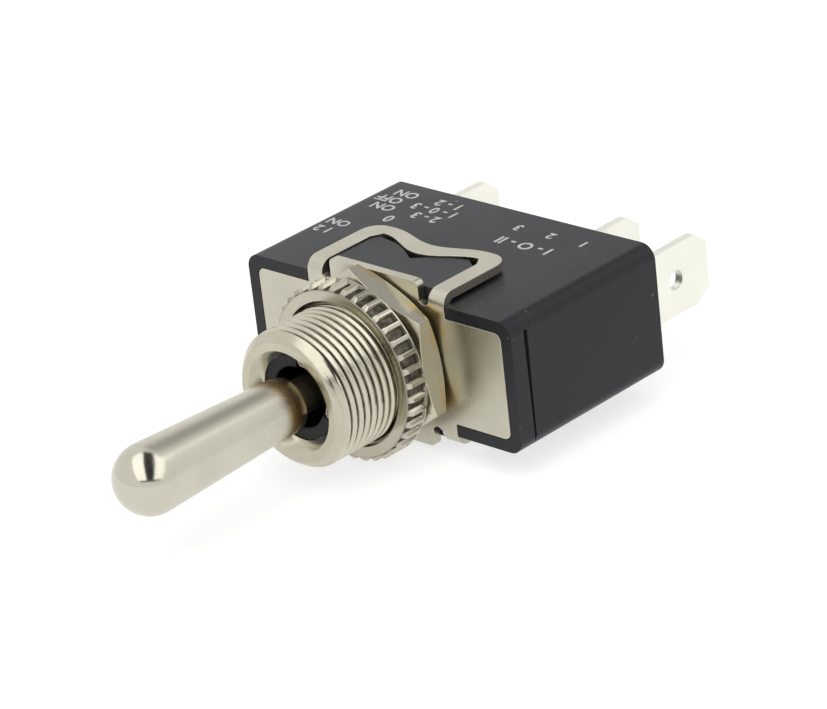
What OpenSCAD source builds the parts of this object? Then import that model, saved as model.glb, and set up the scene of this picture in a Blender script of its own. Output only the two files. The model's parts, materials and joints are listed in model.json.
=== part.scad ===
// Panel toggle switch: bat lever in a threaded bushing, sheet-metal frame clipped over a moulded case,
// centre-off see-saw contacts and three blade terminals.
// X runs along the case, -Y is the way the lever points, Z is across the case.
// The origin is on the bushing's axis, on the front face of the frame plate.

/* [Case] */
// Length of the moulded case along X
case_length = 29.5; // [27:0.1:34]
// Thickness of the case along Z
case_thickness = 11.6; // [11.2:0.1:14]
// Thickness of the case's back wall, where the terminals pass through
case_back = 2.5; // [2.1:0.1:6.6]
// Room between the terminals' inner shelves and the case's back wall
shelf_clearance = 1.2; // [0.8:0.1:3]
// Wall of the case
case_wall = 1.2; // [0.9:0.05:1.5]
// Rounding of the four long edges of the case
case_edge_radius = 1.3; // [0.6:0.1:2]
// How far each clip lug stands off the case
lug_height = 0.9; // [0.6:0.05:1.2]

/* [Frame clip] */
// Thickness of the frame clip's sheet
sheet_thickness = 0.8; // [0.6:0.05:1]
// Length of the front plate along X
plate_length = 27.2; // [25:0.1:28]
// Overall width of each clip loop
loop_width = 15.3; // [14:0.1:17]
// Width of the strap that forms a clip loop
strap_width = 1.7; // [1.3:0.1:2]
// Depth of each clip loop behind the plate's front face
loop_depth = 8.35; // [8:0.05:9.5]
// How far the loop's rear bar dips forward in the middle
loop_dip = 1.2; // [0.6:0.1:1.6]
// Gap between the case and the underside of a loop
loop_lift = 0.25; // [0.15:0.05:0.4]
// Width of the tongue between the two legs of a loop
tongue_width = 9.9; // [9:0.1:10.5]
// Height of the tongues' tips from the bushing's axis
tongue_reach = 7.4; // [7:0.1:8]

/* [Bushing and nuts] */
// Major diameter of the bushing's thread
thread_diameter = 12; // [12:0.1:14]
// Length of the bushing in front of the plate
bushing_length = 11; // [10:0.1:14]
// Bore diameter of the bushing's mouth
mouth_bore = 8.4; // [8.2:0.1:9]
// Radial running clearance between a nut and the thread's crests
nut_clearance = 0.05; // [0.03:0.01:0.08]
// Hexagon nut across flats
hex_across_flats = 14; // [14:0.1:17]
// Hexagon nut thickness
hex_thickness = 2.3; // [1.8:0.1:3]
// Wall of the knurled nut outside the thread's crests
knurled_wall = 1.75; // [1.5:0.05:3]
// Knurled nut thickness
knurled_thickness = 2.1; // [1.6:0.1:3]
// Number of notches in the knurled nut
knurl_count = 38; // [24:2:48]

/* [Lever] */
// Distance from the plate to the centre of the lever's round tip
lever_reach = 26.5; // [22:0.1:32]
// Diameter of the lever's round tip
tip_diameter = 6; // [5:0.1:7]
// Diameter of the bat where it enters the bushing
bat_root_diameter = 4.8; // [4.2:0.1:5.2]
// Distance from the plate to the lever's pivot
pivot_height = 5; // [4.6:0.1:5.6]
// Diameter of the cross pin through the lever's ball
pin_diameter = 1.5; // [1.2:0.1:1.8]
// Radial running clearance of the cross pin and of the other pivots
pivot_clearance = 0.05; // [0.03:0.01:0.08]

/* [Terminals and contacts] */
// Blade width of each terminal along Z
tab_width = 6.3; // [6.3:0.1:6.5]
// Blade thickness of each terminal
tab_thickness = 0.8; // [0.7:0.05:0.9]
// How far the blades stand out of the back of the case
tab_length = 9.5; // [8:0.1:11]
// Distance of each outer blade from the end of the case
outer_tab_inset = 3; // [2.8:0.05:3.4]
// Distance of the common blade from the bushing's axis
common_tab_x = 4.4; // [4:0.1:5]
// Diameter of the round latch hole in each blade
tab_hole = 1.7; // [1.4:0.1:2]
// Distance of each contact from its outer blade
contact_inset = 2.55; // [2.3:0.05:2.8]
// Diameter of the fixed contact heads
contact_head = 3; // [2.4:0.1:3.2]

/* [Hidden] */
$fn = 64;
// colours
black = [0.13, 0.13, 0.14];
nickel = [0.78, 0.76, 0.70];
silver = [0.90, 0.90, 0.88];
copper = [0.78, 0.48, 0.30];
steel = [0.70, 0.70, 0.70];
// case
half_l = case_length / 2;
half_t = case_thickness / 2;
outer_tab_x = half_l - outer_tab_inset;
contact_x = outer_tab_x - contact_inset;
fit_gap = 0.05;
recess_depth = sheet_thickness + fit_gap;
cavity_half_t = half_t - case_wall;
cavity_half_l = half_l - case_wall - 0.55;
cover_top = -1.55;
cover_thickness = 1.05;
ledge_z = cover_top - cover_thickness;
lower_half_l = cavity_half_l - 0.3;
// frame clip
plate_half_l = plate_length / 2;
plate_half_t = half_t - 1.1;
neck_half = loop_width / 2 - 0.05;
bend_inner = 0.4;
bend_outer = bend_inner + sheet_thickness;
strap_y = half_t + loop_lift;
bend_y = strap_y - bend_inner;
loop_half = loop_width / 2;
loop_inner = loop_half - strap_width;
corner_r = 1.75;
dip_half = loop_half - corner_r - 0.7;
inner_corner_x = loop_inner - 0.6;
inner_rear = loop_depth - 1.35;
inner_dip = loop_dip + 0.55;
// bushing
thread_r = thread_diameter / 2;
mouth_r = mouth_bore / 2;
spigot_r = 4.3;
throat_r = 3.5;
stake_r = cavity_half_t - 0.05;
stake_z = -sheet_thickness - 0.7;
insert_top = bushing_length - 2.4;
insert_floor = 2;
// nuts
hex_z = 0.1;
knurled_z = hex_z + hex_thickness + 0.4;
knurled_r = thread_r + knurled_wall;
hex_turn = 6;
// lever
tip_r = tip_diameter / 2;
root_r = bat_root_diameter / 2;
shoulder_z = bushing_length - 0.35;
neck_r = 1.5;
ball_r = 2.6;
stem_r = 1.7;
pin_r = pin_diameter / 2;
sleeve_top = -3.7;
sleeve_end = -8;
stem_end = -4.6;
sleeve_r = 2.4;
well_top = -5;
plunger_r = 1.25;
plunger_top = -6.9;
nose_tip = -9.6;
spring_r = 1;
wire_r = 0.13;
spring_turns = 4.5;
// contact system
rocker_top = nose_tip - 0.1;
rocker_thickness = 0.9;
rocker_bottom = rocker_top - rocker_thickness;
trunnion_r = 0.55;
trunnion_z = rocker_top - 0.6;
ear_inner = 2.75;
ear_outer = 3.45;
rivet_r = 0.7;
head_r = contact_head / 2;
moving_face = rocker_bottom - 0.6;
shelf_top = -13.4;
shelf_bottom = shelf_top - tab_thickness;
floor_z = shelf_bottom - shelf_clearance;
case_depth = case_back - floor_z;
fixed_face = shelf_top + 0.6;
tab_tip = -(case_depth + tab_length);
hole_z = tab_tip + 4.2;

// Turns the drawing frame, whose Z is the lever's axis, into the part's own frame.
module placed() {
    rotate([90, 0, 0]) children();
}

// Flat rectangle with rounded corners, centred on the axis.
module rounded_rect(half_x, half_y, radius) {
    square([2 * half_x, 2 * (half_y - radius)], center = true);
    square([2 * (half_x - radius), 2 * half_y], center = true);
    for (sx = [-1, 1], sy = [-1, 1])
        translate([sx * (half_x - radius), sy * (half_y - radius)])
            circle(r = radius);
}

// Straight prism of a rounded rectangle from one height to another.
module rounded_block(half_x, half_y, radius, low, high) {
    translate([0, 0, low])
        linear_extrude(high - low)
            rounded_rect(half_x, half_y, radius);
}

// Box given by its two opposite corners.
module slab(low, high) {
    translate(low)
        cube(high - low);
}

// Outline of the lug that fills a clip loop, with the notch in its rear edge.
module lug_outline() {
    gap = 0.12;
    side = loop_inner - gap;
    rear = inner_rear - gap;
    polygon([
        [-side, recess_depth], [side, recess_depth], [side, rear - 1.15], [inner_corner_x - 0.75, rear - 0.3],
        [3, rear - 0.75], [1.1, rear - 1.65], [0, rear - 2.45], [-1.7, rear - 1.35], [-3, rear - 0.75],
        [-inner_corner_x, rear - 0.3], [-side, rear - 1.15]
    ]);
}

// Formed strap of one clip loop, seen from above: x across, y back from the plate.
module loop_outline() {
    steps = 16;
    rear = [for (i = [0:steps])
        let (x = dip_half - 2 * dip_half * i / steps)
        [x, loop_depth - loop_dip * (1 + cos(180 * x / dip_half)) / 2]];
    right = [for (a = [0:15:90])
        [loop_half - corner_r + corner_r * cos(a), loop_depth - corner_r + corner_r * sin(a)]];
    left = [for (a = [90:15:180])
        [-loop_half + corner_r + corner_r * cos(a), loop_depth - corner_r + corner_r * sin(a)]];
    inner = [for (i = [0:steps])
        let (x = -inner_corner_x + 2 * inner_corner_x * i / steps)
        [x, inner_rear - inner_dip * (1 + cos(180 * x / inner_corner_x)) / 2]];
    difference() {
        polygon(concat([[loop_half, bend_outer]], right, rear, left, [[-loop_half, bend_outer]]));
        polygon(concat([[loop_inner, bend_outer - 0.1]], [[loop_inner, inner_rear - 1]],
            [for (i = [steps:-1:0]) inner[i]], [[-loop_inner, inner_rear - 1]],
            [[-loop_inner, bend_outer - 0.1]]));
    }
}

// One leg's bend from the upright plate to the strap that lies over the case.
module leg_bend(low_x, high_x) {
    translate([low_x, bend_y, -bend_outer])
        rotate([90, 0, 90])
            rotate_extrude_quarter(high_x - low_x);
}

// Quarter of a ring, extruded along its own axis.
module rotate_extrude_quarter(length) {
    linear_extrude(length)
        intersection() {
            difference() {
                circle(r = bend_outer);
                circle(r = bend_inner);
            }
            square([bend_outer + 1, bend_outer + 1]);
        }
}

// Legs, bends and strap of the loop on the +Z side.
module clip_loop() {
    translate([0, strap_y + sheet_thickness, 0])
        rotate([90, 0, 0])
            linear_extrude(sheet_thickness)
                scale([1, -1])
                    loop_outline();
    leg_bend(loop_inner, loop_half);
    leg_bend(-loop_half, -loop_inner);
}

// Flat front plate with its neck and tongues.
module front_plate() {
    translate([0, 0, -sheet_thickness])
        linear_extrude(sheet_thickness)
            difference() {
                union() {
                    rounded_rect(plate_half_l, plate_half_t, 0.7);
                    square([2 * loop_half, 2 * bend_y], center = true);
                    rounded_rect(tongue_width / 2, tongue_reach, 0.5);
                }
                circle(r = spigot_r);
                for (sx = [-1, 1], sy = [-1, 1])
                    translate([sx * (loop_inner + tongue_width / 2) / 2, sy * (bend_y + 0.3)])
                        circle(r = (loop_inner - tongue_width / 2) / 2);
            }
}

module frame_clip() {
    color(nickel)
        placed() {
            front_plate();
            clip_loop();
            mirror([0, 1, 0])
                clip_loop();
        }
}

module housing() {
    color(black)
        placed()
            difference() {
                union() {
                    rounded_block(half_l, half_t, case_edge_radius, -case_depth, 0);
                    for (side = [0, 1])
                        mirror([0, side, 0])
                            translate([0, half_t + lug_height, 0])
                                rotate([90, 0, 0])
                                    linear_extrude(lug_height + 1)
                                        scale([1, -1])
                                            lug_outline();
                }
                rounded_block(plate_half_l + fit_gap, plate_half_t + fit_gap, 0.7, -recess_depth, 1);
                rounded_block(cavity_half_l, cavity_half_t, 0.5, ledge_z, 0);
                rounded_block(lower_half_l, cavity_half_t, 0.5, floor_z, 0);
                slab([-loop_half - fit_gap, -half_t - 1, -recess_depth], [loop_half + fit_gap, half_t + 1, 1]);
                for (x = [-outer_tab_x, common_tab_x, outer_tab_x])
                    tab_slot(x);
                end_groove();
            }
    color(black)
        placed()
            for (side = [-1, 1])
                contact_post(side);
}

// Slot in the case's back wall that holds one blade.
module tab_slot(x) {
    slab([x - tab_thickness / 2 - 0.02, -tab_width / 2 - 0.02, -case_depth - 1],
        [x + tab_thickness / 2 + 0.02, tab_width / 2 + 0.02, floor_z + 1]);
}

// Post on the case's floor that carries an outer terminal's shelf.
module contact_post(side) {
    slab([side * contact_x - 1.7, -2.2, floor_z - 0.2], [side * contact_x + 1.7, 2.2, shelf_bottom]);
}

// Tapered moulding groove on the +X end wall.
module end_groove() {
    translate([half_l, -half_t - 0.5, -1.75])
        rotate([0, 0, 1.6])
            rotate([-90, 0, 0])
                linear_extrude(case_thickness - 0.6)
                    polygon([[-0.22, 0], [0.5, -0.3], [0.5, 0.3]]);
}

module bushing() {
    color(nickel)
        placed()
            rotate_extrude()
                polygon([
                    [throat_r, stake_z], [stake_r, stake_z], [stake_r, -sheet_thickness],
                    [spigot_r, -sheet_thickness], [spigot_r, 0], [thread_r, 0],
                    [thread_r, bushing_length - 0.75], [thread_r - 0.6, bushing_length - 0.05],
                    [thread_r - 0.75, bushing_length], [mouth_r + 0.25, bushing_length],
                    [mouth_r, bushing_length - 0.2], [mouth_r, insert_floor], [throat_r, insert_floor]
                ]);
}

module slot_insert() {
    color(black)
        placed()
            difference() {
                translate([0, 0, insert_floor])
                    cylinder(r = mouth_r - 0.02, h = insert_top - insert_floor);
                translate([0, 0, insert_floor - 1])
                    cylinder(r = ball_r + 0.4, h = insert_top - insert_floor);
                intersection() {
                    cylinder(r = mouth_r - 0.7, h = bushing_length);
                    slab([-mouth_r, -neck_r - 0.45, insert_floor], [mouth_r, neck_r + 0.45, bushing_length]);
                }
                translate([0, mouth_r + 1, pivot_height])
                    rotate([90, 0, 0])
                        cylinder(r = pin_r, h = 2 * mouth_r + 2);
            }
}

module hex_nut() {
    color(nickel)
        placed()
            rotate([0, 0, hex_turn + 30])
                difference() {
                    intersection() {
                        translate([0, 0, hex_z])
                            linear_extrude(hex_thickness)
                                circle(r = hex_across_flats / sqrt(3), $fn = 6);
                        rotate_extrude()
                            polygon([
                                [0, hex_z], [hex_across_flats / 2 - 0.2, hex_z],
                                [hex_across_flats / 2 + 1.4, hex_z + 0.75],
                                [hex_across_flats / 2 + 1.4, hex_z + hex_thickness - 0.75],
                                [hex_across_flats / 2 - 0.2, hex_z + hex_thickness], [0, hex_z + hex_thickness]
                            ]);
                    }
                    nut_bore(hex_z, hex_thickness);
                }
}

// Threaded hole of a nut at its crest-fit size, with a chamfer at each mouth.
module nut_bore(low, thickness) {
    bore_r = thread_r + nut_clearance;
    rotate_extrude()
        polygon([
            [0, low - 1], [bore_r + 0.3, low - 1], [bore_r + 0.3, low], [bore_r, low + 0.3],
            [bore_r, low + thickness - 0.3], [bore_r + 0.3, low + thickness], [bore_r + 0.3, low + thickness + 1],
            [0, low + thickness + 1]
        ]);
}

module knurled_nut() {
    notch_w = 0.55;
    notch_d = 0.42;
    color(nickel)
        placed()
            difference() {
                rotate_extrude()
                    polygon([
                        [thread_r - 1, knurled_z], [knurled_r - 0.15, knurled_z], [knurled_r, knurled_z + 0.15],
                        [knurled_r, knurled_z + knurled_thickness - 0.25],
                        [knurled_r - 0.3, knurled_z + knurled_thickness], [thread_r - 1, knurled_z + knurled_thickness]
                    ]);
                nut_bore(knurled_z, knurled_thickness);
                for (i = [0:knurl_count - 1])
                    rotate([0, 0, i * 360 / knurl_count])
                        slab([knurled_r - notch_d, -notch_w / 2, knurled_z - 1],
                            [knurled_r + 1, notch_w / 2, knurled_z + knurled_thickness + 1]);
            }
}

// Half profile of the bat lever: inner stem, ball, neck, shoulder, tapered bat and round tip.
module lever_profile() {
    intersection() {
        union() {
            polygon([
                [0, stem_end], [stem_r, stem_end], [stem_r, pivot_height - 1.2], [neck_r, pivot_height + 1.2],
                [neck_r, shoulder_z - 0.25], [root_r - 0.45, shoulder_z], [root_r - 0.1, shoulder_z + 0.2],
                [root_r, shoulder_z + 0.6], [tip_r - 0.02, lever_reach], [0, lever_reach]
            ]);
            translate([0, lever_reach])
                circle(r = tip_r);
            translate([0, pivot_height])
                circle(r = ball_r);
        }
        translate([0, stem_end - 1])
            square([tip_r + 1, lever_reach + tip_r + 20]);
    }
}

module lever() {
    color(nickel)
        placed()
            difference() {
                rotate_extrude()
                    lever_profile();
                translate([0, ball_r + 1, pivot_height])
                    rotate([90, 0, 0])
                        cylinder(r = pin_r + pivot_clearance, h = 2 * ball_r + 2);
            }
}

module pivot_pin() {
    color(steel)
        placed()
            translate([0, mouth_r - 0.05, pivot_height])
                rotate([90, 0, 0])
                    cylinder(r = pin_r, h = 2 * mouth_r - 0.1);
}

module lever_sleeve() {
    color(black)
        placed()
            rotate_extrude()
                polygon([
                    [stem_r, sleeve_top], [sleeve_r, sleeve_top], [sleeve_r, sleeve_end + 0.4],
                    [sleeve_r - 0.4, sleeve_end], [plunger_r + pivot_clearance, sleeve_end],
                    [plunger_r + pivot_clearance, well_top], [0, well_top], [0, stem_end], [stem_r, stem_end]
                ]);
}

module plunger() {
    color(steel)
        placed() {
            translate([0, 0, nose_tip + plunger_r])
                sphere(r = plunger_r);
            translate([0, 0, nose_tip + plunger_r])
                cylinder(r = plunger_r, h = plunger_top - nose_tip - plunger_r);
        }
}

module plunger_spring() {
    span = well_top - plunger_top - 2 * wire_r;
    segments = 60;
    sides = 8;
    radius = spring_r;
    points = [for (i = [0:segments])
        let (a = 360 * spring_turns * i / segments)
        let (z = plunger_top + wire_r + span * i / segments)
        for (j = [0:sides - 1])
        let (b = 360 * j / sides)
        [(radius + wire_r * cos(b)) * cos(a), (radius + wire_r * cos(b)) * sin(a), z + wire_r * sin(b)]];
    sides_faces = [for (i = [0:segments - 1], j = [0:sides - 1])
        [i * sides + j, (i + 1) * sides + j, (i + 1) * sides + (j + 1) % sides, i * sides + (j + 1) % sides]];
    first = [for (j = [0:sides - 1]) j];
    last = [for (j = [sides - 1:-1:0]) segments * sides + j];
    color(steel)
        placed()
            polyhedron(points = points, faces = concat(sides_faces, [first], [last]));
}

module insulating_cover() {
    color(black)
        placed()
            difference() {
                rounded_block(cavity_half_l - fit_gap, cavity_half_t - fit_gap, 0.5, ledge_z, cover_top);
                slab([-3.8, -2.2, ledge_z - 1], [3.8, 2.2, cover_top + 1]);
            }
}

module rocker() {
    rise = 0.62;
    pad_out = 0.4457 * contact_x;
    pad_in = 0.3696 * contact_x;
    color(copper)
        placed()
            difference() {
                union() {
                    slab([-contact_x - 1.7, -2.3, rocker_bottom], [contact_x + 1.7, 2.3, rocker_top]);
                    translate([0, 1.6, 0])
                        rotate([90, 0, 0])
                            linear_extrude(3.2)
                                polygon([
                                    [0, rocker_top], [pad_in, rocker_top + rise], [pad_out, rocker_top + rise],
                                    [pad_out, rocker_bottom + 0.1], [-pad_out, rocker_bottom + 0.1],
                                    [-pad_out, rocker_top + rise], [-pad_in, rocker_top + rise]
                                ]);
                    translate([0, ear_outer - 0.1, trunnion_z])
                        rotate([90, 0, 0])
                            cylinder(r = trunnion_r, h = 2 * ear_outer - 0.2);
                }
                for (side = [-1, 1])
                    translate([side * contact_x, 0, rocker_bottom - 1])
                        cylinder(r = rivet_r, h = 3);
            }
}

// Moving contact: a head under the rocker and a rivet shank through it.
module rocker_contact(side) {
    color(silver)
        placed()
            translate([side * contact_x, 0, 0]) {
                translate([0, 0, moving_face])
                    cylinder(r = head_r, h = rocker_bottom - moving_face);
                translate([0, 0, moving_face])
                    cylinder(r = rivet_r, h = rocker_top - moving_face);
            }
}

// Fixed contact: a head on the terminal's shelf and a rivet shank through it.
module fixed_contact(side) {
    color(silver)
        placed()
            translate([side * contact_x, 0, 0]) {
                translate([0, 0, shelf_top])
                    cylinder(r = head_r, h = fixed_face - shelf_top);
                translate([0, 0, shelf_bottom])
                    cylinder(r = rivet_r, h = fixed_face - shelf_bottom);
            }
}

// Blade that passes through the back wall, with chamfered tip corners and a latch hole.
module blade(x, top) {
    translate([x - tab_thickness / 2, 0, 0])
        rotate([90, 0, 90])
            linear_extrude(tab_thickness)
                difference() {
                    polygon([
                        [-tab_width / 2, top], [tab_width / 2, top], [tab_width / 2, tab_tip + 1.5],
                        [tab_width / 2 - 1.1, tab_tip], [-tab_width / 2 + 1.1, tab_tip],
                        [-tab_width / 2, tab_tip + 1.5]
                    ]);
                    translate([0, hole_z])
                        circle(d = tab_hole);
                }
}

// Outer terminal: blade, and the shelf that carries the fixed contact.
module outer_terminal(side) {
    color(silver)
        placed()
            difference() {
                union() {
                    blade(side * outer_tab_x, shelf_top);
                    slab([min(side * outer_tab_x, side * (contact_x - 1.7)), -2.2, shelf_bottom],
                        [max(side * outer_tab_x, side * (contact_x - 1.7)), 2.2, shelf_top]);
                }
                translate([side * contact_x, 0, shelf_bottom - 1])
                    cylinder(r = rivet_r, h = 3);
            }
}

module terminal_left() {
    outer_terminal(-1);
}

module terminal_right() {
    outer_terminal(1);
}

module terminal_common() {
    seat_r = trunnion_r + pivot_clearance;
    color(silver)
        placed() {
            blade(common_tab_x, floor_z + tab_thickness);
            slab([-2.4, -ear_outer, floor_z], [common_tab_x, ear_outer, floor_z + tab_thickness]);
            for (side = [-1, 1])
                difference() {
                    slab([-1.5, min(side * ear_inner, side * ear_outer), floor_z],
                        [1.5, max(side * ear_inner, side * ear_outer), trunnion_z + 0.35]);
                    translate([0, side * ear_outer + 1, trunnion_z])
                        rotate([90, 0, 0])
                            cylinder(r = seat_r, h = 2);
                    slab([-seat_r, side * (ear_inner + ear_outer) / 2 - 1, trunnion_z],
                        [seat_r, side * (ear_inner + ear_outer) / 2 + 1, trunnion_z + 2]);
                }
        }
}

module rocker_contact_left() {
    rocker_contact(-1);
}

module rocker_contact_right() {
    rocker_contact(1);
}

module fixed_contact_left() {
    fixed_contact(-1);
}

module fixed_contact_right() {
    fixed_contact(1);
}

housing();
frame_clip();
bushing();
slot_insert();
hex_nut();
knurled_nut();
lever();
pivot_pin();
lever_sleeve();
plunger();
plunger_spring();
insulating_cover();
rocker();
rocker_contact_left();
rocker_contact_right();
fixed_contact_left();
fixed_contact_right();
terminal_left();
terminal_common();
terminal_right();
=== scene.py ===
import json
import logging
import math
from dataclasses import dataclass
from enum import Enum
from typing import Any, Callable, Iterable, Optional, Sequence, Union

import bmesh
import bpy
from mathutils import Euler, Matrix, Vector

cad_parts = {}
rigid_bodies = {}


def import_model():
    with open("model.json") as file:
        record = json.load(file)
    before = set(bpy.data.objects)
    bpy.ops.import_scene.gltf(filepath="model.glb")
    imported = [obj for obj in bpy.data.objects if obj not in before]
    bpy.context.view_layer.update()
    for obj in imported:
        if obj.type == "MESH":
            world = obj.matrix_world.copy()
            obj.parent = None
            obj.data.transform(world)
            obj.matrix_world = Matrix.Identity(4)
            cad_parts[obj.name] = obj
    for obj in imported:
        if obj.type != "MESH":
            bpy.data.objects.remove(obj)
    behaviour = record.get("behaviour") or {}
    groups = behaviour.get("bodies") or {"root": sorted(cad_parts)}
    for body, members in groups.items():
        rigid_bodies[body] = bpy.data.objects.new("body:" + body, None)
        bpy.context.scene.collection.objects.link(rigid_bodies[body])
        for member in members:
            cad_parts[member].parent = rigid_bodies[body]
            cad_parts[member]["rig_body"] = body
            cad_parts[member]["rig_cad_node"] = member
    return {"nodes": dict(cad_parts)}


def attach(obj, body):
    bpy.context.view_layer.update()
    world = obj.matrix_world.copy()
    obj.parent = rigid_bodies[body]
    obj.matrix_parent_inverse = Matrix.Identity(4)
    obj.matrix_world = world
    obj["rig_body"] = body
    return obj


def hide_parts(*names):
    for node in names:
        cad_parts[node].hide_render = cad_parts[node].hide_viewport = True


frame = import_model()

log = logging.getLogger("toggle_switch")

Point = tuple[float, float]
Colour = tuple[float, float, float, float]
SEAT = Matrix.Rotation(math.radians(90), 4, "X") @ Matrix.Scale(0.001, 4)


class Body(Enum):
    """The bodies that pieces ride on."""

    HOUSING = "body"
    HEX = "hex"
    RING = "ring"
    BAT = "bat"
    NOSE = "nose"
    SEESAW = "seesaw"


class Slot(Enum):
    """The record's material slots."""

    CASE = "case_black"
    LINER = "liner_black"
    PLATE = "nickel_plate"
    NUT = "nut_nickel"
    LEVER = "lever_nickel"
    STEEL = "steel"
    COPPER = "copper"
    SILVER = "silver"
    BLADE = "blade_silver"


# ---------------------------------------------------------------- shader maths


class Value:
    """A number on its way through a material; Python's operators add the Math nodes."""

    def __init__(self, finish: "NodeSheet", socket: bpy.types.NodeSocket) -> None:
        """Wraps one output socket of the sheet's tree."""
        self.finish = finish
        self.socket = socket

    def _math(self, operation: str, *terms: Any, clamp: bool = False) -> "Value":
        """Adds a Math node on these terms.

        Args:
            operation: the Math node's operation.
            terms: the values or numbers of its inputs, in order.
            clamp: whether the result is held between 0 and 1.

        Returns:
            The node's result.
        """
        settings = {"operation": operation, "use_clamp": clamp}
        return self.finish.node("ShaderNodeMath", settings, dict(enumerate(terms)))

    def __add__(self, other: Any) -> "Value":
        """Sum."""
        return self._math("ADD", self, other)

    def __sub__(self, other: Any) -> "Value":
        """Difference."""
        return self._math("SUBTRACT", self, other)

    def __rsub__(self, other: Any) -> "Value":
        """Difference from a number."""
        return self._math("SUBTRACT", other, self)

    def __mul__(self, other: Any) -> "Value":
        """Product."""
        return self._math("MULTIPLY", self, other)

    def __truediv__(self, other: Any) -> "Value":
        """Quotient."""
        return self._math("DIVIDE", self, other)

    def above(self, edge: float, soft: float) -> "Value":
        """Goes from 0 to 1 as the value passes an edge of this softness."""
        return self._math("ADD", (self - edge) / soft, 0.5, clamp=True)

    __radd__ = __add__
    __rmul__ = __mul__


class NodeSheet:
    """A new material and the nodes on it."""

    def __init__(self, name: str) -> None:
        """Starts an empty material with its output and a Principled shader."""
        self.material = bpy.data.materials.new(name)
        self.material.use_nodes = True
        self.tree = self.material.node_tree
        self.tree.nodes.clear()
        self.output = self.tree.nodes.new("ShaderNodeOutputMaterial")
        self.shader = self.tree.nodes.new("ShaderNodeBsdfPrincipled")
        self.tree.links.new(self.shader.outputs[0], self.output.inputs["Surface"])

    def node(self, kind: str, settings: Optional[dict[str, Any]] = None,
             inputs: Optional[dict[Union[str, int], Any]] = None, output: Union[str, int] = 0) -> Value:
        """Adds any node.

        Args:
            kind: the node's type.
            settings: its properties; they are set first.
            inputs: what its sockets hold, by name or place: a Value links, anything else is set.
            output: the output that is handed back.

        Returns:
            The chosen output.
        """
        made = self.tree.nodes.new(kind)
        for key, held in (settings or {}).items():
            setattr(made, key, held)
        for key, held in (inputs or {}).items():
            self.feed(made.inputs[key], held)
        return Value(self, made.outputs[output])

    def feed(self, socket: bpy.types.NodeSocket, held: Any) -> None:
        """Links a Value to a socket, or sets the socket to a plain number or colour."""
        if isinstance(held, Value):
            self.tree.links.new(held.socket, socket)
        else:
            socket.default_value = held

    def place(self, scale: tuple[float, float, float] = (1, 1, 1)) -> Value:
        """Object coordinates, scaled."""
        spot = self.node("ShaderNodeTexCoord", output="Object")
        return self.node("ShaderNodeMapping", {"vector_type": "POINT"}, {"Vector": spot, "Scale": scale})

    def axis_distance(self) -> Value:
        """Distance from the lever's axis, in metres."""
        flat = self.node("ShaderNodeVectorMath", {"operation": "MULTIPLY"},
                         {0: self.place(), 1: (1, 0, 1)})
        return self.node("ShaderNodeVectorMath", {"operation": "LENGTH"}, {0: flat}, output="Value")

    def axis_height(self) -> Value:
        """Distance in front of the frame plate, along the lever's axis, in metres."""
        return self.node("ShaderNodeVectorMath", {"operation": "DOT_PRODUCT"},
                         {0: self.place(), 1: (0, -1, 0)}, output="Value")

    def noise(self, scale: float, detail: float = 4, rough: float = 0.55, at: Optional[Value] = None) -> Value:
        """Smooth noise, about 0.5 on average, with features of 1/scale metres."""
        held = {"Vector": at or self.place(), "Scale": scale, "Detail": detail, "Roughness": rough}
        return self.node("ShaderNodeTexNoise", None, held)

    def specks(self, scale: float, size: float) -> Value:
        """1 in small round specks spread over the surface and 0 between them."""
        cells = self.node("ShaderNodeTexVoronoi", {"feature": "F1"}, {"Vector": self.place(), "Scale": scale})
        return 1 - cells.above(size, size * 0.5)

    def mix(self, amount: Any, first: Any, second: Any) -> Value:
        """Blends two colours."""
        settings = {"data_type": "RGBA", "blend_type": "MIX"}
        return self.node("ShaderNodeMix", settings, {0: amount, 6: first, 7: second}, output=2)

    def bump(self, height: Value, depth: float) -> Value:
        """A normal from a height pattern, with its depth in metres."""
        return self.node("ShaderNodeBump", None, {"Height": height, "Distance": depth, "Strength": 1})

    def dress(self, **sockets: Any) -> bpy.types.Material:
        """Sets the Principled shader's sockets; an underscore in a name stands for a space."""
        for key, held in sockets.items():
            self.feed(self.shader.inputs[key.replace("_", " ")], held)
        return self.material


# ---------------------------------------------------------------- finishes


@dataclass(frozen=True)
class HollowShade:
    """Painted shade in hollows: darker between two radii and under a height, in metres."""

    radius: float
    inner: float = 0.0
    soft: float = 0.00012
    under: float = 1.0
    share: float = 0.7
    colour: Colour = (0.10, 0.085, 0.06, 1)

    def lay(self, sheet: "NodeSheet", tone: "Value") -> tuple["Value", "Value"]:
        """Darkens a tone with painted shade in the hollows.

        Args:
            sheet: the material that is being made.
            tone: its colour so far.

        Returns:
            The new colour, and how much painted shade there is.
        """
        held = (1 - sheet.axis_distance().above(self.radius, self.soft)) * self.share
        if self.inner:
            held = held * sheet.axis_distance().above(self.inner, self.soft)
        if self.under < 1:
            held = held * (1 - sheet.axis_height().above(self.under, 0.0002))
        held = held * (sheet.noise(1500, 3) * 0.7 + 0.65)
        return sheet.mix(held, tone, self.colour), held


@dataclass(frozen=True)
class WarmReflectionBand:
    """A painted warm reflection and shade: a warm tint on a band along the axis."""

    low: float
    high: float
    outside: float = 0.0
    soft: float = 0.0008
    share: float = 0.6
    colour: Colour = (0.42, 0.29, 0.14, 1)

    def lay(self, sheet: "NodeSheet", tone: "Value") -> "Value":
        """Tints a tone on the band with the painted warm reflection and shade.

        Args:
            sheet: the material that is being made.
            tone: its colour so far.

        Returns:
            The new colour.
        """
        height = sheet.axis_height() + (sheet.noise(420, 2) - 0.5) * self.soft
        held = height.above(self.low, self.soft * 0.4) * (1 - height.above(self.high, self.soft)) * self.share
        if self.outside:
            held = held * sheet.axis_distance().above(self.outside, 0.0003)
        return sheet.mix(held * (sheet.noise(700, 3) + 0.5), tone, self.colour)


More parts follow.
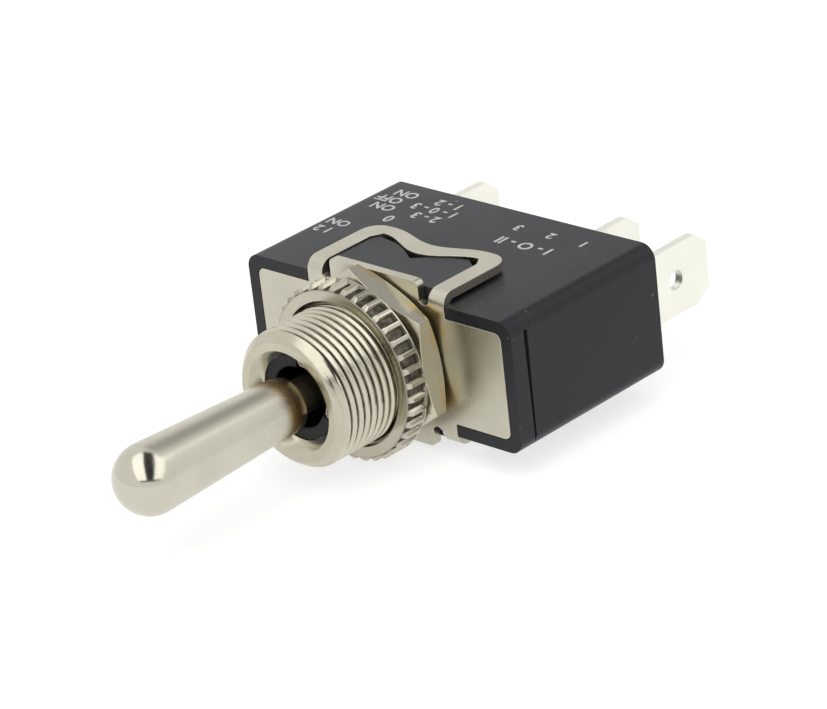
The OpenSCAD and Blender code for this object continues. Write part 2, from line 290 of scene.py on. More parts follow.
@dataclass(frozen=True)
class Plating:
    """A plated metal: its colour, how polished it is and how much it is handled."""

    name: str
    colour: Colour
    shade: Colour
    polish: float
    grain: float = 9000
    wear: float = 0.06
    dents: float = 0.0000012
    hollow_shade: Optional[HollowShade] = None
    warm_reflection: Optional[WarmReflectionBand] = None
    polished_from: float = 0.0

    def material(self) -> bpy.types.Material:
        """Builds the metal.

        Returns:
            The material, with a cloudy tone, fine grain, small handling marks, and any painted warm reflection and
            painted shade in hollows.
        """
        sheet = NodeSheet(self.name)
        cloud = sheet.noise(260, 3)
        fine = sheet.noise(self.grain, 3, 0.6)
        marks = sheet.specks(900, 0.06)
        tone = sheet.mix((cloud - 0.5) * 1.6 + 0.35, self.colour, self.shade)
        rough = self.polish + (cloud - 0.5) * self.wear * 2 + (fine - 0.5) * self.wear + marks * 0.12
        if self.polished_from:
            rough = rough - sheet.axis_height().above(self.polished_from, 0.003) * (self.polish * 0.55)
        # Painted warm reflection and shade on a band along the axis, where one is given.
        if self.warm_reflection:
            tone = self.warm_reflection.lay(sheet, tone)
        # Painted shade in hollows, where it is given; the shaded part is also made rougher.
        if self.hollow_shade:
            tone, painted_shade = self.hollow_shade.lay(sheet, tone)
            rough = rough + painted_shade * 0.25
        normal = sheet.bump(fine + (cloud * 2), self.dents)
        return sheet.dress(Base_Color=tone, Metallic=1.0, Roughness=rough, Normal=normal)


@dataclass(frozen=True)
class Moulding:
    """A moulded thermoset or nylon: its colour, sheen and skin."""

    name: str
    colour: Colour
    worn: Colour
    sheen: float
    skin: float = 0.000006

    def material(self) -> bpy.types.Material:
        """Builds the plastic.

        Returns:
            The material, with a faint moulded skin, rub marks, small nicks and a few pale specks.
        """
        sheet = NodeSheet(self.name)
        skin = sheet.noise(5200, 3, 0.6)
        flow = sheet.noise(180, 4)
        rubs = sheet.noise(700, 6, 0.7, sheet.place(scale=(1, 0.25, 1))).above(0.66, 0.16)
        specks = sheet.specks(420, 0.06) * sheet.noise(300, 1).above(0.54, 0.1)
        nicks = sheet.specks(1500, 0.16) * sheet.noise(230, 2, at=sheet.place(scale=(1, 1, 0.6))).above(0.66, 0.05)
        tone = sheet.mix(rubs * 0.30 + (flow - 0.4) * 0.35, self.colour, self.worn)
        tone = sheet.mix(specks * 0.5 + nicks * 0.22, tone, (0.30, 0.30, 0.31, 1))
        rough = self.sheen + (flow - 0.5) * 0.14 + (skin - 0.5) * 0.08 + rubs * 0.10
        return sheet.dress(Base_Color=tone, Roughness=rough, Specular_IOR_Level=0.29,
                           Normal=sheet.bump(skin + flow * 2 - nicks * 1.5, self.skin))


@dataclass(frozen=True)
class Finishes:
    """Every finish of the switch."""

    plate: Plating = Plating("satin_nickel", (0.565, 0.54, 0.445, 1), (0.49, 0.465, 0.37, 1), 0.30, wear=0.10)
    # The nut's warm band is a painted brass reflection on its rear chamfer, outside 7.2 mm and near the plate.
    nut: Plating = Plating("nut_nickel", (0.57, 0.54, 0.445, 1), (0.49, 0.455, 0.36, 1), 0.22,
                           warm_reflection=WarmReflectionBand(-0.0002, 0.0009, 0.0072, 0.0004, 0.65, (0.60, 0.42, 0.17, 1)))
    # Painted shade: the knurl's notch floors, between 7.24 and 7.41 mm from the axis, are darkened.
    ring: Plating = Plating("ring_nickel", (0.53, 0.50, 0.41, 1), (0.45, 0.42, 0.335, 1), 0.20,
                            hollow_shade=HollowShade(0.00741, 0.00724, 0.00008, 0.00485, 0.9, (0.045, 0.038, 0.028, 1)))
    # Painted shade darkens the thread roots, between 5.0 and 5.8 mm from the axis; a painted tan reflection and
    # shade tints the mouth's chamfer and face.
    barrel: Plating = Plating("barrel_nickel", (0.61, 0.58, 0.475, 1), (0.53, 0.495, 0.39, 1), 0.20,
                              hollow_shade=HollowShade(0.00580, 0.00500, 0.00010, 0.0102, 0.9, (0.07, 0.06, 0.042, 1)),
                              warm_reflection=WarmReflectionBand(0.0102, 0.0125, share=0.30, colour=(0.38, 0.35, 0.27, 1)))
    # Painted shade darkens the neck, ball and stem inside the mouth; a painted brown reflection and shade tints
    # the root and shoulder.
    bat: Plating = Plating("bat_nickel", (0.59, 0.565, 0.475, 1), (0.52, 0.495, 0.405, 1), 0.25, wear=0.07,
                           hollow_shade=HollowShade(0.0023, 0.0, 0.0002, 0.0113, 0.85), polished_from=0.0275,
                           warm_reflection=WarmReflectionBand(0.0100, 0.0132, share=0.85, colour=(0.34, 0.25, 0.14, 1)))
    blade: Plating = Plating("blade_silver", (0.90, 0.895, 0.81, 1), (0.82, 0.815, 0.73, 1), 0.42, wear=0.10)
    steel: Plating = Plating("spring_steel", (0.62, 0.62, 0.63, 1), (0.50, 0.50, 0.52, 1), 0.28)
    copper: Plating = Plating("copper_strip", (0.86, 0.52, 0.36, 1), (0.72, 0.40, 0.26, 1), 0.30)
    silver: Plating = Plating("contact_silver", (0.95, 0.94, 0.92, 1), (0.85, 0.84, 0.82, 1), 0.25)
    case: Moulding = Moulding("case_black", (0.012, 0.0125, 0.0165, 1), (0.028, 0.029, 0.036, 1), 0.36)
    liner: Moulding = Moulding("liner_black", (0.006, 0.006, 0.007, 1), (0.013, 0.013, 0.014, 1), 0.46)


# ---------------------------------------------------------------- modelling by hand


def alone(piece: bpy.types.Object) -> None:
    """Selects only this piece and makes it active."""
    if bpy.context.object and bpy.context.object.mode != "OBJECT":
        bpy.ops.object.mode_set(mode="OBJECT")
    bpy.ops.object.select_all(action="DESELECT")
    piece.select_set(True)
    bpy.context.view_layer.objects.active = piece


def pick(piece: bpy.types.Object, wanted: Callable[[Vector], bool]) -> None:
    """Selects, in edit mode, the vertices that lie where they are wanted.

    Args:
        piece: the piece that is in edit mode.
        wanted: tells from a vertex's place whether it is selected.
    """
    bpy.ops.mesh.select_mode(type="VERT")
    bpy.ops.mesh.select_all(action="DESELECT")
    mesh = bmesh.from_edit_mesh(piece.data)
    for vert in mesh.verts:
        if wanted(vert.co):
            vert.select_set(True)
    mesh.select_flush_mode()
    bmesh.update_edit_mesh(piece.data)


def modify(piece: bpy.types.Object, kind: str, **settings: Any) -> None:
    """Adds a modifier to a piece and applies it."""
    alone(piece)
    held = piece.modifiers.new(kind.title(), kind)
    for key, value in settings.items():
        setattr(held, key, value)
    bpy.ops.object.modifier_apply(modifier=held.name)


def smooth(piece: bpy.types.Object, angle: float = 35) -> None:
    """Shades a piece smooth, with its sharp edges kept."""
    alone(piece)
    bpy.ops.object.shade_smooth_by_angle(angle=math.radians(angle))


def tidy_normals(piece: bpy.types.Object) -> None:
    """Merges doubles and turns every face outward."""
    alone(piece)
    bpy.ops.object.mode_set(mode="EDIT")
    bpy.ops.mesh.select_all(action="SELECT")
    bpy.ops.mesh.remove_doubles(threshold=0.0005)
    bpy.ops.mesh.normals_make_consistent(inside=False)
    bpy.ops.object.mode_set(mode="OBJECT")


def seat(piece: bpy.types.Object) -> None:
    """Turns a piece drawn in millimetres about the lever's axis into the part's frame and applies its place."""
    alone(piece)
    piece.matrix_world = SEAT @ piece.matrix_world
    bpy.ops.object.transform_apply(location=True, rotation=True, scale=True)


def finish_piece(piece: bpy.types.Object, name: str, body: Body, slot: Slot,
                 finish: bpy.types.Material, *nodes: str) -> None:
    """Names, dresses and mounts a finished piece.

    Args:
        piece: the piece, seated in the part's frame.
        name: its plain name.
        body: the body that it rides on.
        slot: the record's material slot; it is not used.
        finish: its material.
        nodes: the CAD nodes that it stands for.
    """
    piece.name = name
    piece.data.name = name
    piece.data.materials.clear()
    piece.data.materials.append(finish)
    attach(piece, body.value)
    if nodes:
        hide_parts(*nodes)
    log.info("%s: %d faces on %s", name, len(piece.data.polygons), body.value)


class Turned:
    """A round piece raised ring by ring from a circle, as on a lathe, about the lever's axis."""

    def __init__(self, radius: float, height: float, segments: int = 96) -> None:
        """Starts with one ring of this radius at this height, in millimetres."""
        bpy.ops.object.select_all(action="DESELECT")
        bpy.ops.mesh.primitive_circle_add(vertices=segments, radius=radius, location=(0, 0, height))
        self.piece = bpy.context.object
        bpy.ops.object.transform_apply(location=True, rotation=True, scale=True)
        bpy.ops.object.mode_set(mode="EDIT")
        bpy.ops.mesh.select_all(action="SELECT")
        self.radius, self.height = radius, height

    def to(self, radius: float, height: float) -> "Turned":
        """Draws the last ring on to a new radius and height."""
        bpy.ops.mesh.extrude_region_move()
        ratio = radius / self.radius
        bpy.ops.transform.resize(value=(ratio, ratio, 1), center_override=(0, 0, self.height))
        bpy.ops.transform.translate(value=(0, 0, height - self.height))
        self.radius, self.height = radius, height
        return self

    def along(self, points: Iterable[Point]) -> "Turned":
        """Draws rings through each of these (radius, height) points."""
        for radius, height in points:
            self.to(radius, height)
        return self

    def cap(self) -> "Turned":
        """Closes the last ring with a flat face drawn to its centre."""
        bpy.ops.mesh.extrude_region_move()
        bpy.ops.mesh.merge(type="CENTER")
        return self

    def done(self, angle: float = 35) -> bpy.types.Object:
        """Leaves edit mode, turns the faces outward and shades them.

        Args:
            angle: edges sharper than this, in degrees, are kept sharp in shading.

        Returns:
            The piece, still in millimetres about the axis.
        """
        bpy.ops.object.mode_set(mode="OBJECT")
        tidy_normals(self.piece)
        smooth(self.piece, angle)
        return self.piece


def arc(centre: Point, radius: float, start: float, end: float, parts: int) -> list[Point]:
    """Points of an arc in a (radius, height) profile, from one angle to another in degrees."""
    turns = [math.radians(start + (end - start) * i / parts) for i in range(parts + 1)]
    return [(centre[0] + radius * math.cos(t), centre[1] + radius * math.sin(t)) for t in turns]


# ---------------------------------------------------------------- sub-assemblies


@dataclass
class BushingAssembly:
    """The threaded bushing with its rolled-in thread, chamfered mouth and staked collar."""

    finishes: Finishes
    crest: float = 6.0
    length: float = 11.0
    pitch: float = 0.75
    depth: float = 0.36
    mouth: float = 4.43
    bore: float = 3.72
    bore_height: float = 9.85
    shelf: float = 2.7
    throat: float = 3.5
    spigot: float = 4.3
    collar: float = 4.55
    sheet: float = 0.8

    def envelope(self, height: float) -> float:
        """Largest radius of the barrel at a height: run-out at the plate, chamfer at the mouth."""
        if height < 0.5:
            return self.crest - self.depth - 0.02
        if height > 10.2:
            return self.crest - (height - 10.2) * 0.95
        return self.crest

    def build(self) -> None:
        """Winds the thread, closes its two ends and turns the rest of the barrel from them."""
        thread = self._wind()
        self._close(thread)
        tidy_normals(thread)
        smooth(thread, 30)
        seat(thread)
        finish_piece(thread, "bushing_barrel", Body.HOUSING, Slot.PLATE,
                     self.finishes.barrel.material(), "bushing")

    def _wind(self) -> bpy.types.Object:
        """Draws one turn's section point by point and winds it along the barrel.

        Returns:
            The open thread, cut square at both ends.
        """
        root = self.crest - self.depth
        section = [(root, 0.0), (root + 0.03, 0.06), (self.crest - 0.05, 0.34), (self.crest, 0.42),
                   (self.crest, 0.62), (self.crest - 0.05, 0.70), (root + 0.03, 0.97), (root, 1.0)]
        bpy.ops.object.select_all(action="DESELECT")
        bpy.ops.mesh.primitive_plane_add(size=0.1, location=(0, 0, 0))
        thread = bpy.context.object
        bpy.ops.object.mode_set(mode="EDIT")
        bpy.ops.mesh.select_all(action="SELECT")
        bpy.ops.mesh.merge(type="CENTER")
        bpy.ops.transform.translate(value=(section[0][0], 0, -self.pitch))
        for (r0, s0), (r1, s1) in zip(section, section[1:]):
            bpy.ops.mesh.extrude_region_move(
                TRANSFORM_OT_translate={"value": (r1 - r0, 0, (s1 - s0) * self.pitch)})
        bpy.ops.object.mode_set(mode="OBJECT")
        turns = math.ceil(self.length / self.pitch) + 2
        modify(thread, "SCREW", screw_offset=self.pitch, iterations=turns, steps=72, render_steps=72,
               use_smooth_shade=True)
        tidy_normals(thread)
        bpy.ops.object.mode_set(mode="EDIT")
        mesh = bmesh.from_edit_mesh(thread.data)
        for vert in mesh.verts:
            radius = math.hypot(vert.co.x, vert.co.y)
            ratio = min(1.0, self.envelope(vert.co.z) / radius)
            vert.co.x *= ratio
            vert.co.y *= ratio
        bmesh.update_edit_mesh(thread.data)
        for height, side in ((10.78, 1), (0.0, -1)):
            bpy.ops.mesh.select_all(action="SELECT")
            bpy.ops.mesh.bisect(plane_co=(0, 0, height), plane_no=(0, 0, side), clear_outer=True)
        return thread

    def _close(self, thread: bpy.types.Object) -> None:
        """Turns the face, mouth, bore, throat and collar from the thread's two open ends."""
        top = self.length
        edge = self.envelope(10.78)
        inside = [(edge - 0.20, top - 0.04), (edge - 0.34, top), (self.mouth + 0.06, top),
                  (self.mouth, top - 0.04), (self.bore + 0.03, self.bore_height + 0.06),
                  (self.bore, self.bore_height), (self.bore, 9.72), (self.shelf + 0.42, 9.72),
                  (self.shelf + 0.24, 9.69), (self.shelf + 0.10, 9.61), (self.shelf, 9.45), (self.shelf, 9.35),
                  (self.bore, 9.35), (self.bore, 2.0), (self.throat, 2.0), (self.throat, -1.5),
                  (self.collar, -1.5), (self.collar, -self.sheet), (self.spigot, -self.sheet),
                  (self.spigot, 0.0)]
        pick(thread, lambda spot: spot.z > 10.7799)
        radius, height = edge, 10.78
        for new_radius, new_height in inside:
            bpy.ops.mesh.extrude_region_move()
            ratio = new_radius / radius
            bpy.ops.transform.resize(value=(ratio, ratio, 1), center_override=(0, 0, height))
            bpy.ops.transform.translate(value=(0, 0, new_height - height))
            radius, height = new_radius, new_height
        pick(thread, lambda spot: abs(spot.z) < 0.0001)
        bpy.ops.mesh.bridge_edge_loops()
        bpy.ops.object.mode_set(mode="OBJECT")


@dataclass
class SlotInsert:
    """The black insert in the bushing's mouth: a sleeve whose lip is cut away on one side."""

    finishes: Finishes
    outer: float = 3.7
    inner: float = 2.98
    hole: float = 2.65
    top: float = 9.83
    bottom: float = 2.05

    def build(self) -> None:
        """Turns the sleeve and lowers its lip where the bushing's shelf shows."""
        turned = Turned(self.hole, self.top - 0.10, 96)
        turned.along([(self.hole + 0.08, self.top), (self.outer - 0.04, self.top), (self.outer, self.top - 0.05),
                      (self.outer, self.bottom), (self.inner, self.bottom), (self.inner, self.top - 0.75),
                      (self.hole, self.top - 0.45), (self.hole, self.top - 0.10)])
        pick(turned.piece, lambda spot: spot.z > self.top - 0.8 and -0.35 < math.atan2(spot.y, spot.x) < 1.45)
        bpy.ops.transform.translate(value=(0, 0, -1.0))
        piece = turned.done()
        seat(piece)
        finish_piece(piece, "mouth_insert", Body.HOUSING, Slot.LINER, self.finishes.liner.material(),
                     "slot_insert")


@dataclass
class KnurledRing:
    """The round front nut with its coarse straight knurl and chamfered faces."""

    finishes: Finishes
    bore: float = 6.05
    radius: float = 7.75
    low: float = 2.8
    high: float = 4.9
    notches: int = 38
    floor: float = 7.32
    floor_width: float = 0.62
    mouth_width: float = 0.92
    rear_rim: float = 0.30

    def build(self) -> None:
        """Turns the blank, cuts the notches round it and seats it."""
        blank = Turned(self.bore, self.low + 0.3, 152)
        blank.along([(self.bore + 0.3, self.low), (self.radius - 0.20, self.low), (self.radius, self.low + 0.16),
                     (self.radius, self.high - 0.34), (self.radius - 0.46, self.high),
                     (self.bore + 0.34, self.high), (self.bore, self.high - 0.3), (self.bore, self.low + 0.3)])
        ring = blank.done()
        cutter = self._cutter()
        modify(ring, "BOOLEAN", operation="DIFFERENCE", object=cutter, solver="EXACT")
        bpy.data.objects.remove(cutter)
        modify(ring, "BEVEL", width=0.022, segments=2, limit_method="ANGLE", angle_limit=math.radians(38),
               use_clamp_overlap=True)
        smooth(ring, 32)
        seat(ring)
        finish_piece(ring, "knurled_ring_nut", Body.RING, Slot.NUT, self.finishes.ring.material(), "knurled_nut")

    def _cutter(self) -> bpy.types.Object:
        """Shapes one wedge, narrower at its floor, and copies it round the axis.

        Returns:
            All the wedges in one mesh.
        """
        bpy.ops.object.select_all(action="DESELECT")
        depth = 1.6
        rear, front = self.low + self.rear_rim, self.high + 1
        bpy.ops.mesh.primitive_cube_add(size=1, location=(self.floor + depth / 2, 0, (rear + front) / 2),
                                        scale=(depth, self.floor_width, front - rear))
        cutter = bpy.context.object
        bpy.ops.object.transform_apply(location=True, rotation=True, scale=True)
        slope = (self.mouth_width - self.floor_width) / (self.radius - self.floor)
        widened = (self.floor_width + slope * depth) / self.floor_width
        bpy.ops.object.mode_set(mode="EDIT")
        pick(cutter, lambda spot: spot.x > self.floor + depth / 2)
        bpy.ops.transform.resize(value=(1, widened, 1), center_override=(self.floor + depth, 0, 0))
        bpy.ops.mesh.select_all(action="SELECT")
        bpy.ops.mesh.spin(steps=self.notches - 1, dupli=True, angle=math.tau * (1 - 1 / self.notches),
                          center=(0, 0, 0), axis=(0, 0, 1))
        bpy.ops.object.mode_set(mode="OBJECT")
        return cutter


@dataclass
class LeverAssembly:
    """The bat lever: polished bat with its round tip, waist, ball and stem."""

    finishes: Finishes
    tip: float = 2.99
    tip_height: float = 26.5
    root: float = 2.39
    root_height: float = 11.25
    neck: float = 1.5
    ball: float = 2.58
    stem: float = 1.69
    stem_end: float = -4.58
    pivot: float = 5.0
    pin_hole: float = 0.8

    def build(self) -> None:
        """Turns the bat from its stem to the round tip and drills the ball for its cross pin."""
        ball = arc((0, self.pivot), self.ball, -48, 52, 12)
        tip = arc((0, self.tip_height), self.tip, 0, 84, 18)
        bat = Turned(0.3, self.stem_end, 96)
        bat.along([(self.stem - 0.14, self.stem_end), (self.stem, self.stem_end + 0.14), (self.stem, ball[0][1])])
        bat.along(ball)
        bat.along([(self.neck, 7.4), (self.neck, self.root_height - 0.5),
                   (self.root - 0.42, self.root_height - 0.25), (self.root - 0.1, self.root_height - 0.08),
                   (self.root, self.root_height + 0.25)])
        start, steps = self.root_height + 0.25, 10
        for share in (i / steps for i in range(1, steps)):
            bat.to(self.root + (self.tip - self.root) * share, start + (self.tip_height - start) * share)
        bat.along(tip).cap()
        pick(bat.piece, lambda spot: abs(spot.z - self.stem_end) < 0.0005 and math.hypot(spot.x, spot.y) < 0.31)
        bpy.ops.mesh.fill()
        piece = bat.done(angle=40)
        bpy.ops.object.select_all(action="DESELECT")
        bpy.ops.mesh.primitive_cylinder_add(vertices=48, radius=self.pin_hole, depth=self.ball * 3,
                                            location=(0, 0, self.pivot), rotation=(math.pi / 2, 0, 0))
        drill = bpy.context.object
        modify(piece, "BOOLEAN", operation="DIFFERENCE", object=drill, solver="EXACT")
        bpy.data.objects.remove(drill)
        smooth(piece, 40)
        seat(piece)
        finish_piece(piece, "bat_lever", Body.BAT, Slot.LEVER, self.finishes.bat.material(), "lever")


@dataclass(frozen=True)
class Softened:
    """How a pressed or moulded piece gets its broken edges: its node, new name and the edges' width in mm."""

    node: str
    name: str
    body: Body
    slot: Slot
    width: float
    angle: float = 32


@dataclass
class BrokenEdges:
    """Pieces that keep their solid's shape and only get the rounded edges of the real ones."""

    finishes: Finishes

    def build(self) -> None:
        """Copies each solid, merges its loose triangles and rounds its edges."""
        metal, nut, blade = (held.material() for held in
                             (self.finishes.plate, self.finishes.nut, self.finishes.blade))
        case = self.finishes.case.material()
        for plan, finish in (
            (Softened("frame_clip", "clip_plate_and_loops", Body.HOUSING, Slot.PLATE, 0.10), metal),
            (Softened("hex_nut", "hexagon_nut", Body.HEX, Slot.NUT, 0.05), nut),
            (Softened("housing", "moulded_case", Body.HOUSING, Slot.CASE, 0.12), case),
            (Softened("terminal_left", "left_blade", Body.HOUSING, Slot.BLADE, 0.06), blade),
            (Softened("terminal_common", "common_blade", Body.HOUSING, Slot.BLADE, 0.06), blade),
            (Softened("terminal_right", "right_blade", Body.HOUSING, Slot.BLADE, 0.06), blade),
        ):
            self._soften(plan, finish)

    def _soften(self, plan: Softened, finish: bpy.types.Material) -> None:
        """Makes one softened piece.

        Args:
            plan: what it is made from and how.
            finish: its material.
        """
        source = frame["nodes"][plan.node]
        alone(source)
        bpy.ops.object.duplicate()
        piece = bpy.context.object
        piece.parent = None
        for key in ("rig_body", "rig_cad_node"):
            if key in piece:
                del piece[key]
        piece.data = piece.data.copy()
        bpy.ops.object.mode_set(mode="EDIT")
        bpy.ops.mesh.select_all(action="SELECT")
        bpy.ops.mesh.customdata_custom_splitnormals_clear()
        bpy.ops.mesh.remove_doubles(threshold=0.000001)
        bpy.ops.mesh.dissolve_limited(angle_limit=math.radians(0.5))
        bpy.ops.object.mode_set(mode="OBJECT")
        smooth(piece, 30)
        modify(piece, "BEVEL", width=plan.width / 1000, segments=2, limit_method="ANGLE",
               angle_limit=math.radians(plan.angle), use_clamp_overlap=True, harden_normals=True)
        finish_piece(piece, plan.name, plan.body, plan.slot, finish, plan.node)


@dataclass(frozen=True)
class Mark:
    """One line of plain print: its words, where its middle lies on the case (X, Y in mm) and its height."""

    words: str
    x: float
    y: float
    height: float


@dataclass
class PlainPrint:
    """Generic pad-printed marks on the case's broad side: the lever's places and the terminals' numbers."""

    face: float = 5.8
    thickness: float = 0.008
    size_for_height: float = 1.4
    extra_weight: float = 0.04

    def build(self) -> None:
        """Prints each line and joins them into one piece."""
        marks = [Mark("1 - 2     ON", -8.6, 16.0, 1.12), Mark("1 - 0 - 3   OFF", -8.6, 14.5, 1.12),
                 Mark("2 - 3     ON", -8.6, 13.0, 1.12), Mark("1       2       3", 5.9, 15.2, 1.05),
                 Mark("I - O - II", 5.2, 12.6, 1.25), Mark("ON", -12.2, 8.6, 1.05),
                 Mark("1 2", -12.4, 6.9, 1.05), Mark("0", -8.9, 11.3, 1.2)]
        lines = [self._line(mark) for mark in marks]
        alone(lines[0])
        for line in lines[1:]:
            line.select_set(True)
        bpy.ops.object.join()
        piece = bpy.context.object
        finish_piece(piece, "plain_print", Body.HOUSING, Slot.CASE, self._ink())

    def _line(self, mark: Mark) -> bpy.types.Object:
        """Sets one line of type, turned to read from the terminals' side.

        Args:
            mark: the line's words and place.

        Returns:
            The line as a mesh in the part's frame.
        """
        bpy.ops.object.select_all(action="DESELECT")
        spot = (mark.x / 1000, mark.y / 1000, (self.face + self.thickness) / 1000)
        bpy.ops.object.text_add(location=spot, rotation=(0, 0, math.pi))
        line = bpy.context.object
        line.data.body = mark.words
        line.data.size = mark.height * self.size_for_height / 1000
        line.data.align_x, line.data.align_y = "CENTER", "CENTER"
        line.data.extrude = self.thickness / 1000
        line.data.resolution_u = 4
        line.data.offset = self.extra_weight / 1000
        bpy.ops.object.convert(target="MESH")
        line = bpy.context.object
        bpy.ops.object.transform_apply(location=True, rotation=True, scale=True)
        return line

    def _ink(self) -> bpy.types.Material:
        """Worn pale ink.

        Returns:
            The material, thinner and greyer where it has rubbed off.
        """
        sheet = NodeSheet("pale_ink")
        rubbed = sheet.noise(2600, 4, 0.7).above(0.60, 0.20)
        tone = sheet.mix(rubbed, (0.62, 0.62, 0.60, 1), (0.30, 0.30, 0.31, 1))
        return sheet.dress(Base_Color=tone, Roughness=0.55 + rubbed * 0.1, Specular_IOR_Level=0.3)


@dataclass
class CadPieces:
    """The pieces whose solids already have the shape of the real ones: they only get their finishes."""

    finishes: Finishes

    def dress(self) -> None:
        """Gives each remaining CAD node its material."""
        copper = self.finishes.copper.material()
        silver = self.finishes.silver.material()
        steel = self.finishes.steel.material()
        liner = self.finishes.liner.material()
        finish = {
            "insulating_cover": liner, "lever_sleeve": liner, "pivot_pin": steel, "plunger": liner,
            "plunger_spring": steel, "rocker": copper, "rocker_contact_left": silver,
            "rocker_contact_right": silver, "fixed_contact_left": silver, "fixed_contact_right": silver,
        }
        for node, material in finish.items():
            piece = frame["nodes"][node]
            piece.data.materials.clear()
            piece.data.materials.append(material)


# ---------------------------------------------------------------- the studio


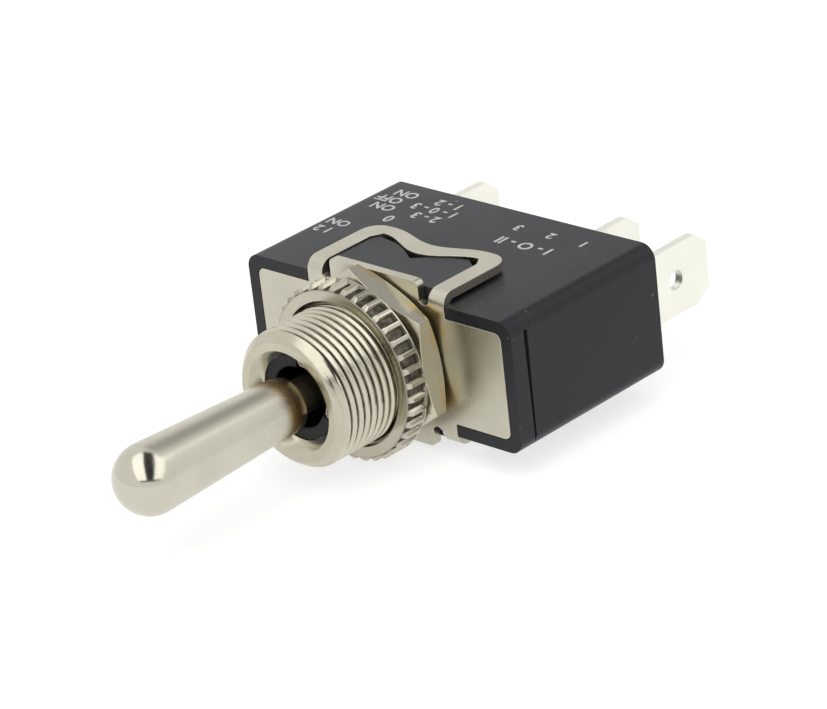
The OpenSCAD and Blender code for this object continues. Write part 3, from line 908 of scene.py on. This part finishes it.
@dataclass
class Studio:
    """The pale floor, the soft lamps, the cards that the metal mirrors, and the camera."""

    floor_height: float = -0.00812
    floor_size: float = 3.0
    floor_grey: float = 0.45
    floor_glow: float = 0.73

    def build(self) -> None:
        """Sets up everything around the switch."""
        self._world()
        self._floor()
        self._lamp("front_box", (0.22, -0.36, 0.42), (0.36, 0.36), 0.5, False)
        self._lamp("left_box", (-0.45, -0.30, 0.30), (0.30, 0.35), 0.25, False)
        self._lamp("roof_box_left", (0.03, -0.17, 0.455), (0.22, 0.50), 0.55, False)
        self._lamp("roof_box_right", (0.32, -0.06, 0.455), (0.22, 0.50), 0.55, False)
        overhead = Vector((0.34, -0.22, 0.91)).normalized()
        rising = Vector((-0.673, 0.619, 0.405))
        facing = Matrix((rising.cross(overhead), rising, overhead)).transposed().to_euler()
        self._card("overhead_white", overhead * 0.48, (0.98, 1.0), 1.75, 0.0, facing)
        self._card("overhead_bar", overhead * 0.47, (0.25, 1.04), 0.03, 0.0, facing)
        self._card("overhead_rim", overhead * 0.46 - rising * 0.53, (0.80, 0.09), 0.10, 0.0, facing)
        self._card("grey_rear", (-0.14, 0.34, 0.36), (0.58, 0.52), 0.42, 0.8)
        self._camera()

    def _world(self) -> None:
        """Plain white surroundings: full strength where they are seen or mirrored, softer as light."""
        world = bpy.data.worlds.new("studio_white")
        bpy.context.scene.world = world
        world.use_nodes = True
        tree = world.node_tree
        back = tree.nodes["Background"]
        rays = tree.nodes.new("ShaderNodeLightPath")
        either = tree.nodes.new("ShaderNodeMath")
        either.operation, either.use_clamp = "ADD", True
        every = tree.nodes.new("ShaderNodeMath")
        every.operation, every.use_clamp = "ADD", True
        level = tree.nodes.new("ShaderNodeMapRange")
        tree.links.new(rays.outputs["Is Camera Ray"], either.inputs[0])
        tree.links.new(rays.outputs["Is Glossy Ray"], either.inputs[1])
        tree.links.new(either.outputs[0], every.inputs[0])
        tree.links.new(rays.outputs["Is Transmission Ray"], every.inputs[1])
        tree.links.new(every.outputs[0], level.inputs["Value"])
        level.inputs["To Min"].default_value = 0.42
        level.inputs["To Max"].default_value = 1.0
        tree.links.new(level.outputs[0], back.inputs["Strength"])
        back.inputs["Color"].default_value = (1, 1, 1, 1)

    def _floor(self) -> None:
        """A wide pale floor just under the lowest point of the nuts; it keeps the switch's shadow."""
        bpy.ops.object.select_all(action="DESELECT")
        bpy.ops.mesh.primitive_plane_add(size=self.floor_size, location=(0, 0, self.floor_height))
        floor = bpy.context.object
        floor.name = "studio_floor"
        sheet = NodeSheet("pale_floor")
        camera, glossy, passed = (sheet.node("ShaderNodeLightPath", output=f"Is {kind} Ray")
                                  for kind in ("Camera", "Glossy", "Transmission"))
        seen = (camera + glossy + passed).above(0.5, 0.1)
        glow = sheet.mix(seen, (0, 0, 0, 1), (*[self.floor_glow] * 3, 1))
        sheet.dress(Base_Color=(*[self.floor_grey] * 3, 1), Roughness=0.9, Specular_IOR_Level=0.0,
                    Emission_Color=glow, Emission_Strength=1.0)
        floor.data.materials.append(sheet.material)

    def _lamp(self, name: str, spot: tuple[float, float, float], size: Point, power: float,
              mirrored: bool) -> None:
        """Hangs a soft box, aimed at the switch; metal mirrors it only where that is asked for."""
        bpy.ops.object.select_all(action="DESELECT")
        bpy.ops.object.light_add(type="AREA", location=spot)
        lamp = bpy.context.object
        lamp.name = name
        lamp.data.shape = "RECTANGLE"
        lamp.data.size, lamp.data.size_y = size
        lamp.data.energy = power
        lamp.rotation_euler = (-Vector(spot)).to_track_quat("-Z", "Y").to_euler()
        lamp.visible_glossy = mirrored

    def _card(self, name: str, spot: Sequence[float], size: Point, grey: float, soft: float,
              facing: Optional[Euler] = None) -> None:
        """Stands a card where only shiny pieces mirror it.

        Args:
            name: the card's name.
            spot: its centre, in metres.
            size: its width and height.
            grey: how bright it is; more than one stands for a soft box.
            soft: how far it fades to white at its rim.
            facing: its turn; it faces the switch where none is given.
        """
        bpy.ops.object.select_all(action="DESELECT")
        bpy.ops.mesh.primitive_plane_add(size=1, location=spot)
        card = bpy.context.object
        card.name = name
        card.scale = (size[0], size[1], 1)
        card.rotation_euler = facing or (-Vector(spot)).to_track_quat("-Z", "Y").to_euler()
        sheet = NodeSheet("studio_card")
        tone: Any = (grey, grey, grey, 1)
        if soft:
            ball = sheet.node("ShaderNodeTexGradient", {"gradient_type": "SPHERICAL"},
                              {"Vector": sheet.place(scale=(2, 2, 2))})
            tone = sheet.mix(ball.above(soft / 2 + 0.01, soft), (1, 1, 1, 1), tone)
        sheet.dress(Base_Color=(0, 0, 0, 1), Roughness=1.0, Specular_IOR_Level=0.0,
                    Emission_Color=tone, Emission_Strength=1.0)
        card.data.materials.append(sheet.material)
        card.visible_camera = False
        card.visible_diffuse = False
        card.visible_shadow = False

    def _camera(self) -> None:
        """Looks down on the switch from the lever's side."""
        data = bpy.data.cameras.new("view_camera")
        data.lens, data.sensor_width = 174.334, 36.0
        data.clip_start, data.clip_end = 0.01, 10.0
        camera = bpy.data.objects.new("view_camera", data)
        bpy.context.scene.collection.objects.link(camera)
        camera.location = (0.215286, -0.207227, 0.135114)
        camera.rotation_euler = Euler((1.142089, 0.105766, 0.747723), "XYZ")
        bpy.context.scene.camera = camera


def main() -> None:
    """Builds the looks of the switch."""
    logging.basicConfig(level=logging.INFO, format="%(message)s")
    bpy.context.scene.view_settings.view_transform = "Standard"
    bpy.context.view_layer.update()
    finishes = Finishes()
    CadPieces(finishes).dress()
    BushingAssembly(finishes).build()
    SlotInsert(finishes).build()
    KnurledRing(finishes).build()
    BrokenEdges(finishes).build()
    PlainPrint().build()
    LeverAssembly(finishes).build()
    Studio().build()
    bpy.context.view_layer.update()


if __name__ == "__main__":
    main()
